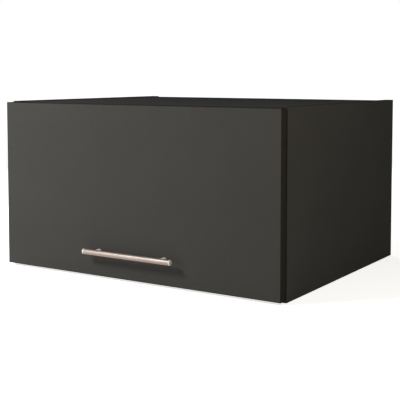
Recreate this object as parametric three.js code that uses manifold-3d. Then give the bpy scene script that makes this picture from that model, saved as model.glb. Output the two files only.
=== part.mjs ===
// A short, deep kitchen wall cabinet with one top-hung flap that lifts up.
// Millimetres. X runs to the right, Y from the front to the wall, Z up.
// The origin is the centre of the carcass's underside.
import * as THREE from 'three';
import { mergeVertices } from 'three/addons/utils/BufferGeometryUtils.js';
import Module from 'manifold-3d';

const wasm = await Module();
wasm.setup();

// Carcass
const cabinetWidth = 600;
const cabinetHeight = 320;
const cabinetDepth = 470; // without the flap
const boardThickness = 16;
const topRecess = 1.5; // the sides stand this far above the top panel
const backThickness = 3;
const backInset = 16; // from the wall to the back panel
const grooveDepth = 7;
const seam = 0.3; // clearance between pieces that touch or fit into each other

// Flap
const flapThickness = 16;
const flapGap = 3; // between the flap and the carcass's front edges
const flapSideReveal = 1;
const flapTopReveal = 2;
const flapBottomReveal = 4;
const flapOpeningAngle = 95; // degrees
const pivotBehindFace = 5; // the axis the flap turns about, behind the flap's face
const pivotBelowEdge = 7; // and below the flap's upper edge
const bumperRadius = 4.5;
const bumperHeight = 18; // above the flap's lower edge

// Handle
const barLength = 194;
const barRadius = 5;
const barEndChamfer = 0.8;
const barStandOff = 17; // from the flap's face to the bar's centre line
const barHeight = 46; // above the flap's lower edge
const postInset = 25; // from each end of the bar to a post
const postRadius = 4;
const handleScrewRadius = 2;
const handleScrewReach = 8; // into the post
const handleScrewHeadRadius = 4;
const handleScrewHeadHeight = 2.4;

// Concealed hinges
const hingeInset = 100; // from the cabinet's side to the hinge
const cupRadius = 17.5;
const cupDepth = 12;
const cupWall = 1.2;
const cupBelowEdge = 21; // the cup's centre, below the flap's upper edge
const flangeThickness = 1.2;
const flangeOverlap = 1; // beyond the cup, all round
const flangeSpan = 62; // across its two ears
const flangeEarHeight = 14;
const plateSetback = 37; // the mounting plate's screw line, behind the front edges
const plateSpan = 48;
const plateEarDepth = 12;
const plateRailLength = 44;
const plateRailWidth = 12;
const plateThickness = 3.6;
const armWidth = 15;
const armHeight = 7;
const armLength = 62; // behind the front edges
const noseWidth = 6;
const noseRadius = 2.4;
const armPivotReach = 10; // the links' pivots on the arm, ahead of the front edges
const outerPivotDrop = 17.5; // and below the top panel
const innerPivotDrop = 14.5;
const cupPivotRadius = 10; // the links' pivots in the cup, from the flap's axis
const linkThickness = 2.8;
const linkEyeRadius = 2.1;
const linkPinRadius = 1;

// Gas struts
const strutFlapOffset = 15; // the upper ball, behind the flap
const strutFlapDrop = 70; // and below the flap's axis
const strutSideSetback = 40; // the lower ball, behind the front edges
const strutSideDrop = 225; // and below the flap's axis
const ballRadius = 4;
const studRadius = 2.2;
const socketRadius = 6;
const socketThickness = 11;
const shankRadius = 4.5;
const shankReach = 15; // from the ball's centre to the socket's end
const cylinderRadius = 7.5;
const cylinderWall = 1.5;
const cylinderEnd = 3;
const guideLength = 10; // the rod's guide in the cylinder's mouth
const rodRadius = 3;
const rodShow = 6; // bare rod while the flap is shut
const pistonLength = 6;
const bracketThickness = 2;
const sideBracketHeight = 44;
const sideBracketWidth = 18;
const flapBracketHeight = 46;
const flapBracketWidth = 22;
const earThickness = 2.5;
const earHeight = 12;

// Wall hangers
const hangerWidth = 18;
const hangerDepth = 44;
const hangerHeight = 44;
const hookThickness = 3;
const hookHeight = 14;
const hookTravel = 12;
const hookReach = 14; // behind the back panel's front face
const hookLipThickness = 3;
const hookLipDrop = 8;
const hookTail = 26; // in the housing
const pocketFloor = 8; // the hook's pocket, above the housing's underside
const pocketMargin = 2;
const adjusterRadius = 4;
const adjusterLength = 9;
const adjusterSlot = 1.2;

// Cam fittings
const camRadius = 7.5;
const camFromEnd = 34; // from the panel's end to the cam's centre
const camSetback = 50; // from the front and rear edges
const camRise = 4.5; // beyond the bolt's axis
const camSlotWidth = 1.6;
const camSlotDepth = 1.5;
const boltRadius = 3.2;
const boltNeckRadius = 1.8;
const boltHeadLength = 3.5;
const boltNeckLength = 4;
const boltGrip = 10.5; // into the side panel

const sidesOfRound = 24;
const sidesOfPin = 12;
const passThrough = 1; // how far a cutter runs past the face that it opens

const graphite = new THREE.MeshStandardMaterial({ color: 0x4b4a46, roughness: 0.5, metalness: 0 });
const graphiteBack = new THREE.MeshStandardMaterial({ color: 0x43423f, roughness: 0.6, metalness: 0 });
const brushedSteel = new THREE.MeshStandardMaterial({ color: 0xc3bbaf, roughness: 0.32, metalness: 1 });
const nickel = new THREE.MeshStandardMaterial({ color: 0xb9b8b4, roughness: 0.28, metalness: 1 });
const zinc = new THREE.MeshStandardMaterial({ color: 0xa7a9ab, roughness: 0.4, metalness: 1 });
const greyLacquer = new THREE.MeshStandardMaterial({ color: 0x8d9094, roughness: 0.35, metalness: 0.3 });
const blackPlastic = new THREE.MeshStandardMaterial({ color: 0x1d1d1e, roughness: 0.5, metalness: 0 });
const whitePlastic = new THREE.MeshStandardMaterial({ color: 0xdcdcd8, roughness: 0.5, metalness: 0 });
const clearRubber = new THREE.MeshStandardMaterial({ color: 0xc9ccca, roughness: 0.45, metalness: 0 });

// Planes and axes that follow from the sizes
const halfWidth = cabinetWidth / 2;
const innerHalf = halfWidth - boardThickness;
const frontEdge = -cabinetDepth / 2;
const rearEdge = cabinetDepth / 2;
const topUpper = cabinetHeight - topRecess;
const topUnder = topUpper - boardThickness;
const bottomUpper = boardThickness;
const backRear = rearEdge - backInset;
const backFront = backRear - backThickness;

const flapBack = frontEdge - flapGap;
const flapFace = flapBack - flapThickness;
const flapLower = flapBottomReveal;
const flapUpper = cabinetHeight - flapTopReveal;
const flapHalf = halfWidth - flapSideReveal;
const flapAxis = { y: flapFace + pivotBehindFace, z: flapUpper - pivotBelowEdge };
const postReach = barLength / 2 - postInset;
const barAxis = { y: flapFace - barStandOff, z: flapLower + barHeight };
const hingePlace = halfWidth - hingeInset;
const cupHeight = flapUpper - cupBelowEdge;
const camLevels = [boardThickness / 2, topUnder + boardThickness / 2];
const camRows = [frontEdge + camSetback, rearEdge - camSetback];
const camDepth = boardThickness / 2 + camRise;

// A closed body from a three.js geometry: shared corners merged, faces pointing out.
function body(geometry) {
  const bare = new THREE.BufferGeometry();
  bare.setAttribute('position', geometry.getAttribute('position'));
  bare.setIndex(geometry.getIndex());
  const merged = mergeVertices(bare, 1e-4);
  const points = merged.getAttribute('position').array;
  const corners = merged.getIndex().array;
  const faces = [];
  let volume = 0;
  for (let i = 0; i < corners.length; i += 3) {
    const [a, b, c] = [corners[i], corners[i + 1], corners[i + 2]];
    if (a === b || b === c || c === a) continue;
    faces.push(a, b, c);
    const [p, q, r] = [a, b, c].map((k) => new THREE.Vector3().fromArray(points, 3 * k));
    volume += p.dot(q.cross(r));
  }
  if (volume < 0) faces.reverse();
  const mesh = new wasm.Mesh({
    numProp: 3,
    vertProperties: new Float32Array(points),
    triVerts: new Uint32Array(faces),
  });
  return new wasm.Manifold(mesh);
}

function geometryOf(solid) {
  const mesh = solid.getMesh();
  const geometry = new THREE.BufferGeometry();
  geometry.setAttribute('position', new THREE.BufferAttribute(new Float32Array(mesh.vertProperties), 3));
  geometry.setIndex(new THREE.BufferAttribute(new Uint32Array(mesh.triVerts), 1));
  geometry.computeVertexNormals();
  return geometry;
}

function block(low, high) {
  const size = high.map((value, i) => value - low[i]);
  const middle = high.map((value, i) => (value + low[i]) / 2);
  return body(new THREE.BoxGeometry(...size).translate(...middle));
}

function ordered(a, b) {
  return [Math.min(a, b), Math.max(a, b)];
}

// A block between two x values given in either order.
function blockAcross(xA, xB, low, high) {
  const [left, right] = ordered(xA, xB);
  return block([left, ...low], [right, ...high]);
}

// A turned body: profile rows are [radius, distance along the axis].
function turned(profile, axis, sides = sidesOfRound) {
  const points = profile.map(([radius, along]) => new THREE.Vector2(radius, along));
  const geometry = new THREE.LatheGeometry(points, sides);
  if (axis === 'x') geometry.rotateZ(-Math.PI / 2);
  if (axis === 'z') geometry.rotateX(Math.PI / 2);
  return geometry;
}

// A round bar along an axis, through the point given by its other two coordinates.
function roundBar(axis, radius, start, end, [u, v] = [0, 0], sides = sidesOfRound) {
  const [low, high] = ordered(start, end);
  const geometry = turned([[0, low], [radius, low], [radius, high], [0, high]], axis, sides);
  if (axis === 'x') geometry.translate(0, u, v);
  if (axis === 'y') geometry.translate(u, 0, v);
  if (axis === 'z') geometry.translate(u, v, 0);
  return body(geometry);
}

// An outline drawn in Y and Z, given thickness between two x values.
function cutFromSheet(shape, xA, xB, curveSegments = 6) {
  const [low, high] = ordered(xA, xB);
  const settings = { depth: high - low, bevelEnabled: false, curveSegments };
  const geometry = new THREE.ExtrudeGeometry(shape, settings);
  const yzPlane = new THREE.Matrix4().makeBasis(
    new THREE.Vector3(0, 1, 0),
    new THREE.Vector3(0, 0, 1),
    new THREE.Vector3(1, 0, 0),
  );
  return body(geometry.applyMatrix4(yzPlane).translate(low, 0, 0));
}

function outline(points) {
  return new THREE.Shape(points.map(([y, z]) => new THREE.Vector2(y, z)));
}

function add(parent, name, solid, material) {
  const mesh = new THREE.Mesh(geometryOf(solid), material);
  mesh.name = name;
  parent.add(mesh);
  return mesh;
}

function groupAt(parent, x, y, z) {
  const group = new THREE.Group();
  group.position.set(x, y, z);
  parent.add(group);
  return group;
}

// ---- Carcass ----

// The groove that the back panel stands in, cut into the face that lies between the two given corners.
function backGroove(low, high) {
  return block([low[0], backFront - seam, low[1]], [high[0], backRear + seam, high[1]]);
}

function sidePanel(side) {
  const inner = side * innerHalf;
  let panel = blockAcross(inner, side * halfWidth, [frontEdge, 0], [rearEdge, cabinetHeight]);
  const [left, right] = ordered(inner - side * passThrough, inner + side * grooveDepth);
  panel = panel.subtract(backGroove([left, -passThrough], [right, cabinetHeight + passThrough]));
  for (const row of camRows) {
    for (const level of camLevels) {
      const start = inner - side * passThrough;
      const end = inner + side * (boltGrip + seam);
      panel = panel.subtract(roundBar('x', boltRadius + seam, start, end, [row, level], sidesOfPin));
    }
  }
  return panel;
}

// The top and bottom panels: insideFace is the face towards the room inside, inward is +1 where that is up.
function crossPanel(low, high, insideFace, inward) {
  const reach = innerHalf - seam;
  let panel = block([-reach, frontEdge, low], [reach, rearEdge, high]);
  const [under, over] = ordered(insideFace + inward * passThrough, insideFace - inward * grooveDepth);
  panel = panel.subtract(backGroove([-halfWidth, under], [halfWidth, over]));
  const boltLevel = (low + high) / 2;
  for (const row of camRows) {
    for (const side of [-1, 1]) {
      const centre = side * (innerHalf - camFromEnd);
      const floor = insideFace - inward * (camDepth + seam);
      const opening = insideFace + inward * passThrough;
      const pocket = roundBar('z', camRadius + seam, floor, opening, [centre, row]);
      const bore = roundBar('x', boltRadius + seam, centre, side * halfWidth, [row, boltLevel], sidesOfPin);
      panel = panel.subtract(pocket).subtract(bore);
    }
  }
  return panel;
}

function backPanel() {
  const reach = innerHalf + grooveDepth - seam;
  const low = bottomUpper - grooveDepth + seam;
  const high = topUnder + grooveDepth - seam;
  let panel = block([-reach, backFront, low], [reach, backRear, high]);
  const notchInner = innerHalf - hangerWidth - seam;
  const notchLow = topUnder - hangerHeight;
  for (const side of [-1, 1]) {
    const notch = blockAcross(
      side * notchInner,
      side * halfWidth,
      [backFront - passThrough, notchLow],
      [backRear + passThrough, high + passThrough],
    );
    panel = panel.subtract(notch);
  }
  return panel;
}

const cabinet = new THREE.Group();
const carcass = groupAt(cabinet, 0, 0, 0);
add(carcass, 'side_panel_left', sidePanel(-1), graphite);
add(carcass, 'side_panel_right', sidePanel(1), graphite);
add(carcass, 'top_panel', crossPanel(topUnder, topUpper, topUnder, -1), graphite);
add(carcass, 'bottom_panel', crossPanel(0, bottomUpper, bottomUpper, 1), graphite);
add(carcass, 'back_panel', backPanel(), graphiteBack);

// ---- Cam fittings: each group's origin is where the cam's axis crosses the bolt's axis ----

function camLock() {
  const face = -(boardThickness / 2 - seam);
  const channel = boltRadius + seam;
  const turnedBody = roundBar('z', camRadius, face, camRise);
  const mouth = block([-channel - seam, -channel, -channel], [camRadius + passThrough, channel, channel]);
  const slot = block(
    [-camRadius / 2, -camSlotWidth / 2, face - passThrough],
    [camRadius / 2, camSlotWidth / 2, face + camSlotDepth],
  );
  return turnedBody.subtract(mouth).subtract(slot);
}

function camBolt() {
  const neckStart = -boltHeadLength / 2 + boltHeadLength;
  const neckEnd = neckStart + boltNeckLength;
  const end = camFromEnd + boltGrip;
  const profile = [
    [0, -boltHeadLength / 2],
    [boltRadius, -boltHeadLength / 2],
    [boltRadius, neckStart],
    [boltNeckRadius, neckStart],
    [boltNeckRadius, neckEnd],
    [boltRadius, neckEnd],
    [boltRadius, end],
    [0, end],
  ];
  return body(turned(profile, 'x', sidesOfPin));
}

for (const [sideName, side] of [['left', -1], ['right', 1]]) {
  for (const [rowName, row] of [['front', camRows[0]], ['rear', camRows[1]]]) {
    for (const [levelName, level] of [['lower', camLevels[0]], ['upper', camLevels[1]]]) {
      const fitting = groupAt(carcass, side * (innerHalf - camFromEnd), row, level);
      fitting.rotation.set(levelName === 'lower' ? Math.PI : 0, 0, side < 0 ? Math.PI : 0);
      add(fitting, `cam_lock_${levelName}_${rowName}_${sideName}`, camLock(), zinc);
      add(fitting, `cam_bolt_${levelName}_${rowName}_${sideName}`, camBolt(), zinc);
    }
  }
}

// ---- Flap and handle ----

function flapDoor() {
  let door = block([-flapHalf, flapFace, flapLower], [flapHalf, flapBack, flapUpper]);
  const [front, back] = [flapFace - passThrough, flapBack + passThrough];
  const cupFloor = flapBack - cupDepth - seam;
  for (const side of [-1, 1]) {
    const hingeCentre = [side * hingePlace, cupHeight];
    const screwCentre = [side * postReach, barAxis.z];
    door = door.subtract(roundBar('y', cupRadius + seam, cupFloor, back, hingeCentre));
    door = door.subtract(roundBar('y', handleScrewRadius + seam, front, back, screwCentre, sidesOfPin));
  }
  return door;
}

function handleBar() {
  const half = barLength / 2;
  const profile = [
    [0, -half],
    [barRadius - barEndChamfer, -half],
    [barRadius, -half + barEndChamfer],
    [barRadius, half - barEndChamfer],
    [barRadius - barEndChamfer, half],
    [0, half],
  ];
  return body(turned(profile, 'x'));
}

// A post runs from the flap's face to the bar, whose round it is cut to. Its origin is on the bar's axis.
function handlePost() {
  const saddle = roundBar('x', barRadius + seam, -barRadius, barRadius);
  const thread = roundBar(
    'y',
    handleScrewRadius + seam,
    barStandOff - handleScrewReach - seam,
    barStandOff + passThrough,
    [0, 0],
    sidesOfPin,
  );
  return roundBar('y', postRadius, 0, barStandOff - seam).subtract(saddle).subtract(thread);
}

// The screw's origin is on the flap's back face.
function handleScrew() {
  const tip = -(flapThickness + handleScrewReach);
  const profile = [
    [0, tip],
    [handleScrewRadius, tip],
    [handleScrewRadius, seam],
    [handleScrewHeadRadius, seam],
    [handleScrewHeadRadius, handleScrewHeadHeight],
    [0, handleScrewHeadHeight],
  ];
  return body(turned(profile, 'y', sidesOfPin));
}

function flapBumper() {
  return roundBar('y', bumperRadius, 0, flapGap - seam);
}

const flap = groupAt(cabinet, 0, 0, 0);
add(flap, 'flap_door', flapDoor(), graphite);
const handle = groupAt(flap, 0, barAxis.y, barAxis.z);
add(handle, 'handle_bar', handleBar(), brushedSteel);
for (const [sideName, side] of [['left', -1], ['right', 1]]) {
  const x = side * postReach;
  add(groupAt(handle, x, 0, 0), `handle_post_${sideName}`, handlePost(), brushedSteel);
  add(groupAt(flap, x, flapBack, barAxis.z), `handle_screw_${sideName}`, handleScrew(), zinc);
  const bumperX = side * (halfWidth - boardThickness / 2);
  const bumperPlace = groupAt(flap, bumperX, flapBack, flapLower + bumperHeight);
  add(bumperPlace, `flap_bumper_${sideName}`, flapBumper(), clearRubber);
}

// ---- Concealed hinges: drawn in the cabinet's Y and Z, each group at its own x ----

const outerArmPivot = { y: frontEdge - armPivotReach, z: topUnder - outerPivotDrop };
const innerArmPivot = { y: frontEdge - armPivotReach, z: topUnder - innerPivotDrop };

// A link keeps its length between shut and open when its pivot in the cup lies half the opening
// angle away from its pivot on the arm, both seen from the axis that the flap turns about.
function cupPivot(armPivot) {
  const towardsArm = Math.atan2(armPivot.z - flapAxis.z, armPivot.y - flapAxis.y);
  const angle = towardsArm + THREE.MathUtils.degToRad(flapOpeningAngle) / 2;
  return {
    y: flapAxis.y + cupPivotRadius * Math.cos(angle),
    z: flapAxis.z + cupPivotRadius * Math.sin(angle),
  };
}

const outerCupPivot = cupPivot(outerArmPivot);
const innerCupPivot = cupPivot(innerArmPivot);
const linkInner = noseWidth / 2 + seam;
const linkOuter = linkInner + linkThickness;

function mountingPlate() {
  const centre = frontEdge + plateSetback;
  const high = topUnder - seam;
  const low = high - plateThickness;
  const ears = block(
    [-plateSpan / 2, centre - plateEarDepth / 2, (low + high) / 2],
    [plateSpan / 2, centre + plateEarDepth / 2, high],
  );
  const rail = block(
    [-plateRailWidth / 2, centre - plateRailLength / 2, low],
    [plateRailWidth / 2, centre + plateRailLength / 2, high],
  );
  return ears.add(rail);
}

// outward is -1 on the left hinge and +1 on the right one: the outer link lies on that side.
function hingeArm(outward) {
  const high = topUnder - plateThickness - 2 * seam;
  const low = high - armHeight;
  const noseRoot = frontEdge + 2 * noseRadius;
  const beam = block([-armWidth / 2, noseRoot, low], [armWidth / 2, frontEdge + armLength, high]);
  const [inner, outer, r] = [innerArmPivot, outerArmPivot, noseRadius];
  const nose = outline([
    [noseRoot + r, low],
    [noseRoot + r, high],
    [noseRoot - r, high],
    [inner.y + r / 2, inner.z + r],
    [inner.y - r / 2, inner.z + r],
    [outer.y - r, outer.z + r / 2],
    [outer.y - r, outer.z - r / 2],
    [outer.y - r / 2, outer.z - r],
    [outer.y + r / 2, outer.z - r],
  ]);
  const pinReach = outward * linkOuter;
  const outerPin = roundBar('x', linkPinRadius, 0, pinReach, [outer.y, outer.z], sidesOfPin);
  const innerPin = roundBar('x', linkPinRadius, 0, -pinReach, [inner.y, inner.z], sidesOfPin);
  return beam.add(cutFromSheet(nose, -noseWidth / 2, noseWidth / 2)).add(outerPin).add(innerPin);
}

function hingeCup(outward) {
  const flangeFace = seam + flangeThickness;
  const floor = cupWall - cupDepth;
  const bore = cupRadius - cupWall;
  const rim = cupRadius + flangeOverlap;
  const profile = [
    [0, floor],
    [bore, floor],
    [bore, flangeFace],
    [rim, flangeFace],
    [rim, seam],
    [cupRadius, seam],
    [cupRadius, -cupDepth],
    [0, -cupDepth],
  ];
  const shell = body(turned(profile, 'y').translate(0, flapBack, cupHeight));
  const ears = block(
    [-flangeSpan / 2, flapBack + seam, cupHeight - flangeEarHeight / 2],
    [flangeSpan / 2, flapBack + flangeFace, cupHeight + flangeEarHeight / 2],
  );
  const mouth = roundBar('y', bore, flapBack, flapBack + flangeFace + passThrough, [0, cupHeight]);
  let cup = shell.add(ears.subtract(mouth));
  // The pins for the links stand in the cup's wall and stop short of the links.
  for (const [side, pivot] of [[outward, outerCupPivot], [-outward, innerCupPivot]]) {
    const wall = Math.sqrt((cupRadius - cupWall / 2) ** 2 - (pivot.z - cupHeight) ** 2);
    const pinStart = linkOuter + seam;
    cup = cup.add(roundBar('x', linkPinRadius, side * pinStart, side * wall, [pivot.y, pivot.z], sidesOfPin));
  }
  return cup;
}

// A flat link along Z from its pivot on the arm, with an eye at each end.
function hingeLink(length, side) {
  const shape = new THREE.Shape();
  shape.absarc(0, length, linkEyeRadius, 0, Math.PI, false);
  shape.absarc(0, 0, linkEyeRadius, Math.PI, 2 * Math.PI, false);
  for (const z of [0, length]) {
    const hole = new THREE.Path();
    hole.absarc(0, z, linkPinRadius + seam, 0, 2 * Math.PI, true);
    shape.holes.push(hole);
  }
  return cutFromSheet(shape, side * linkInner, side * linkOuter);
}

function addLink(parent, name, from, to, side) {
  const reach = { y: to.y - from.y, z: to.z - from.z };
  const link = add(parent, name, hingeLink(Math.hypot(reach.y, reach.z), side), nickel);
  link.position.set(0, from.y, from.z);
  link.rotation.x = Math.atan2(-reach.y, reach.z);
}

for (const [sideName, side] of [['left', -1], ['right', 1]]) {
  const hinge = groupAt(cabinet, side * hingePlace, 0, 0);
  add(hinge, `hinge_plate_${sideName}`, mountingPlate(), nickel);
  add(hinge, `hinge_arm_${sideName}`, hingeArm(side), nickel);
  add(hinge, `hinge_cup_${sideName}`, hingeCup(side), nickel);
  addLink(hinge, `hinge_outer_link_${sideName}`, outerArmPivot, outerCupPivot, side);
  addLink(hinge, `hinge_inner_link_${sideName}`, innerArmPivot, innerCupPivot, -side);
}

// ---- Gas struts: each strut's group stands at its upper ball, with the strut along -Z ----

const upperBall = { y: flapBack + strutFlapOffset, z: flapAxis.z - strutFlapDrop };
const lowerBall = { y: frontEdge + strutSideSetback, z: flapAxis.z - strutSideDrop };
const strutLength = Math.hypot(upperBall.y - lowerBall.y, upperBall.z - lowerBall.z);
const strutLean = Math.asin((lowerBall.y - upperBall.y) / strutLength);
const cylinderTop = -(shankReach + seam);
const cylinderLength = strutLength - 2 * (shankReach + seam) - rodShow;
const cylinderBore = cylinderRadius - cylinderWall;
const lowerBallInset = bracketThickness + seam + 2 * ballRadius;
const strutInset = lowerBallInset + seam + socketThickness / 2;
const strutPlace = innerHalf - strutInset;

function ball(x) {
  return body(new THREE.SphereGeometry(ballRadius, sidesOfPin, sidesOfPin / 2).translate(x, 0, 0));
}

// open is the side, -1 or +1, on which the ball enters; way is +1 where the shank points up.
function ballSocket(open, way) {
  const half = socketThickness / 2;
  const head = roundBar('x', socketRadius, -half, half);
  const shank = roundBar('z', shankRadius, 0, way * shankReach);
  const cavity = body(new THREE.SphereGeometry(ballRadius + 2 * seam, sidesOfPin, sidesOfPin / 2));
  const mouth = roundBar('x', ballRadius - seam, 0, open * (half + passThrough));
  return head.add(shank).subtract(cavity).subtract(mouth);
}

function strutCylinder() {
  const mouth = cylinderTop - cylinderLength;
  const guideBore = rodRadius + seam;
  const profile = [
    [0, cylinderTop],
    [cylinderRadius, cylinderTop],
    [cylinderRadius, mouth],
    [guideBore, mouth],
    [guideBore, mouth + guideLength],
    [cylinderBore, mouth + guideLength],
    [cylinderBore, cylinderTop - cylinderEnd],
    [0, cylinderTop - cylinderEnd],
  ];
  return body(turned(profile, 'z'));
}

function strutRod() {
  const pistonTop = cylinderTop - cylinderEnd - seam;
  const pistonRadius = cylinderBore - seam;
  const end = -strutLength + shankReach + seam;
  const profile = [
    [0, pistonTop],
    [pistonRadius, pistonTop],
    [pistonRadius, pistonTop - pistonLength],
    [rodRadius, pistonTop - pistonLength],
    [rodRadius, end],
    [0, end],
  ];
  return body(turned(profile, 'z'));
}

// Drawn about the upper ball: a foot on the flap, an ear beside the socket and the ball on its stud.
function flapBracket(side) {
  const back = flapBack - upperBall.y + seam;
  const earFace = -side * (socketThickness / 2 + 2 * seam);
  const earBack = earFace - side * earThickness;
  const footEnd = earBack + side * flapBracketWidth;
  const half = earHeight / 2;
  const ear = blockAcross(earFace, earBack, [back, -half], [half, half]);
  const foot = blockAcross(
    earBack,
    footEnd,
    [back, -flapBracketHeight / 2],
    [back + bracketThickness, flapBracketHeight / 2],
  );
  const stud = roundBar('x', studRadius, 0, earFace - (side * earThickness) / 2, [0, 0], sidesOfPin);
  return foot.add(ear).add(stud).add(ball(0));
}

// Drawn about the lower ball's place on the strut's axis: a foot on the side panel and the ball on its stud.
function sideBracket(side) {
  const panelFace = side * (strutInset - seam);
  const footFace = panelFace - side * bracketThickness;
  const foot = blockAcross(
    footFace,
    panelFace,
    [-sideBracketWidth / 2, -sideBracketHeight / 2],
    [sideBracketWidth / 2, sideBracketHeight / 2],
  );
  const ballPlace = side * (socketThickness / 2 + seam + ballRadius);
  const stud = roundBar('x', studRadius, ballPlace, (footFace + panelFace) / 2, [0, 0], sidesOfPin);
  return foot.add(stud).add(ball(ballPlace));
}

for (const [sideName, side] of [['left', -1], ['right', 1]]) {
  const x = side * strutPlace;
  const onFlap = groupAt(cabinet, x, upperBall.y, upperBall.z);
  const onSide = groupAt(cabinet, x, lowerBall.y, lowerBall.z);
  add(onFlap, `strut_flap_bracket_${sideName}`, flapBracket(side), zinc);
  add(onSide, `strut_side_bracket_${sideName}`, sideBracket(side), zinc);
  const strut = groupAt(cabinet, x, upperBall.y, upperBall.z);
  strut.rotation.x = strutLean;
  add(strut, `strut_upper_socket_${sideName}`, ballSocket(-side, -1), blackPlastic);
  add(strut, `strut_cylinder_${sideName}`, strutCylinder(), greyLacquer);
  add(strut, `strut_rod_${sideName}`, strutRod(), nickel);
  const lowerEnd = groupAt(strut, 0, 0, -strutLength);
  add(lowerEnd, `strut_lower_socket_${sideName}`, ballSocket(side, 1), blackPlastic);
}

// ---- Wall hangers: drawn from the corner of the side panel, the top panel and the back panel ----

const hookMiddle = seam + hangerWidth / 2;
const hookLow = -(seam + hangerHeight) + pocketFloor;
const adjusterLevels = [-(seam + hangerHeight / 4), -(seam + (3 * hangerHeight) / 4)];

function hangerHousing(side) {
  const [low, high] = [-(seam + hangerHeight), -seam];
  const [front, back] = [-(seam + hangerDepth), -seam];
  let housing = blockAcross(-side * seam, -side * (seam + hangerWidth), [front, low], [back, high]);
  const halfSlot = hookThickness / 2 + seam;
  const pocket = blockAcross(
    -side * (hookMiddle - halfSlot),
    -side * (hookMiddle + halfSlot),
    [-(hookTail + pocketMargin), hookLow - seam],
    [passThrough, hookLow + hookHeight + hookTravel + seam],
  );
  housing = housing.subtract(pocket);
  for (const level of adjusterLevels) {
    const [start, end] = [front - passThrough, front + adjusterLength + seam];
    const place = [-side * hookMiddle, level];
    housing = housing.subtract(roundBar('y', adjusterRadius + seam, start, end, place, sidesOfPin));
  }
  return housing;
}

function hangerHook(side) {
  const lipFront = hookReach - hookLipThickness;
  const shape = outline([
    [-hookTail, hookLow],
    [lipFront, hookLow],
    [lipFront, hookLow - hookLipDrop],
    [hookReach, hookLow - hookLipDrop],
    [hookReach, hookLow + hookHeight],
    [-hookTail, hookLow + hookHeight],
  ]);
  const halfThickness = hookThickness / 2;
  return cutFromSheet(shape, -side * (hookMiddle - halfThickness), -side * (hookMiddle + halfThickness));
}

function adjuster() {
  const screw = roundBar('y', adjusterRadius, 0, adjusterLength, [0, 0], sidesOfPin);
  const half = adjusterSlot / 2;
  const [deep, wide] = [adjusterSlot, adjusterRadius / 2];
  const across = block([-wide, -passThrough, -half], [wide, deep, half]);
  const down = block([-half, -passThrough, -wide], [half, deep, wide]);
  return screw.subtract(across).subtract(down);
}

for (const [sideName, side] of [['left', -1], ['right', 1]]) {
  const corner = groupAt(cabinet, side * innerHalf, backFront, topUnder);
  add(corner, `hanger_housing_${sideName}`, hangerHousing(side), whitePlastic);
  add(corner, `hanger_hook_${sideName}`, hangerHook(side), zinc);
  for (const [name, level] of [['height', adjusterLevels[0]], ['depth', adjusterLevels[1]]]) {
    const place = groupAt(corner, -side * hookMiddle, -(seam + hangerDepth), level);
    add(place, `hanger_${name}_screw_${sideName}`, adjuster(), zinc);
  }
}

export default cabinet;
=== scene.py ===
import math

import bmesh
import bpy
import numpy as np
from mathutils import Euler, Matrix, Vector


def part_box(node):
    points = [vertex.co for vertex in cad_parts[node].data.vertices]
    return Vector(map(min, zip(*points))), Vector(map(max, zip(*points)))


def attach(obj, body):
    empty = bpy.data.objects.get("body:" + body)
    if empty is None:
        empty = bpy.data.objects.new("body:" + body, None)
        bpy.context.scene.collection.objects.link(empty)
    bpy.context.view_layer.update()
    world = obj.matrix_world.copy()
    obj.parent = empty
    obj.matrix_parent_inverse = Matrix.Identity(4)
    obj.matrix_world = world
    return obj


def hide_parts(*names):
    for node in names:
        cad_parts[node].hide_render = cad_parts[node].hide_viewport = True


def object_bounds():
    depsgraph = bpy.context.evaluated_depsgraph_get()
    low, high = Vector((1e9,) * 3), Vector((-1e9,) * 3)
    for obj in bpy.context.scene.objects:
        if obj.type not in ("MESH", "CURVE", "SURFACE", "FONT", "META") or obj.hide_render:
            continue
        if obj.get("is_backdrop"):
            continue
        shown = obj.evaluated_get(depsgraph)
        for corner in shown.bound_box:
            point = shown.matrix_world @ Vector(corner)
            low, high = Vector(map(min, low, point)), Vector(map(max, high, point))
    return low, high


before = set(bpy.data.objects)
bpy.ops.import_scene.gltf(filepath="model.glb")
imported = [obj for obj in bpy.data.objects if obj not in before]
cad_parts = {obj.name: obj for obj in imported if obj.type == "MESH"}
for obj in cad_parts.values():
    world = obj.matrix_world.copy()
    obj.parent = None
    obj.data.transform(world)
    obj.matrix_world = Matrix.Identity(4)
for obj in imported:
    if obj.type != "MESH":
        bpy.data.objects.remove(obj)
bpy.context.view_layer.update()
print("frame loaded:", len(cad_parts), "nodes")

sides = {"left": -1, "right": 1}  # each side's direction along X

# For each axis of a turned or flat piece: the two directions across it, then the direction along it.
axesOf = {
    "x": ((0, 1, 0), (0, 0, 1), (1, 0, 0)),
    "y": ((1, 0, 0), (0, 0, 1), (0, 1, 0)),
    "z": ((1, 0, 0), (0, 1, 0), (0, 0, 1)),
}

pole = 0.0005  # the radius at which a turned profile starts and ends, where a fan closes it

# angles in degrees, distances in metres
edges = {
    "sharpFrom": 32,  # from this angle between its faces an edge is sharp
    "flatWithin": 1,  # faces within this angle become one
    "mergeWithin": 1e-6,
    "sideShare": 0.45,  # a softened corner takes at most this share of the side beside it
}


def sixVolumes(points, faces):
    # Six times the volume inside is the sum of p . (q x r) over the triangles.
    # It is below 0 when the faces point inwards.
    tris = np.concatenate([faces[:, [0, 1, 2]], faces[:, [0, 2, 3]]]) if faces.shape[1] == 4 else faces
    p, q, r = points[tris[:, 0]], points[tris[:, 1]], points[tris[:, 2]]
    return float(np.einsum("ij,ij->", p, np.cross(q, r)))


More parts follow.
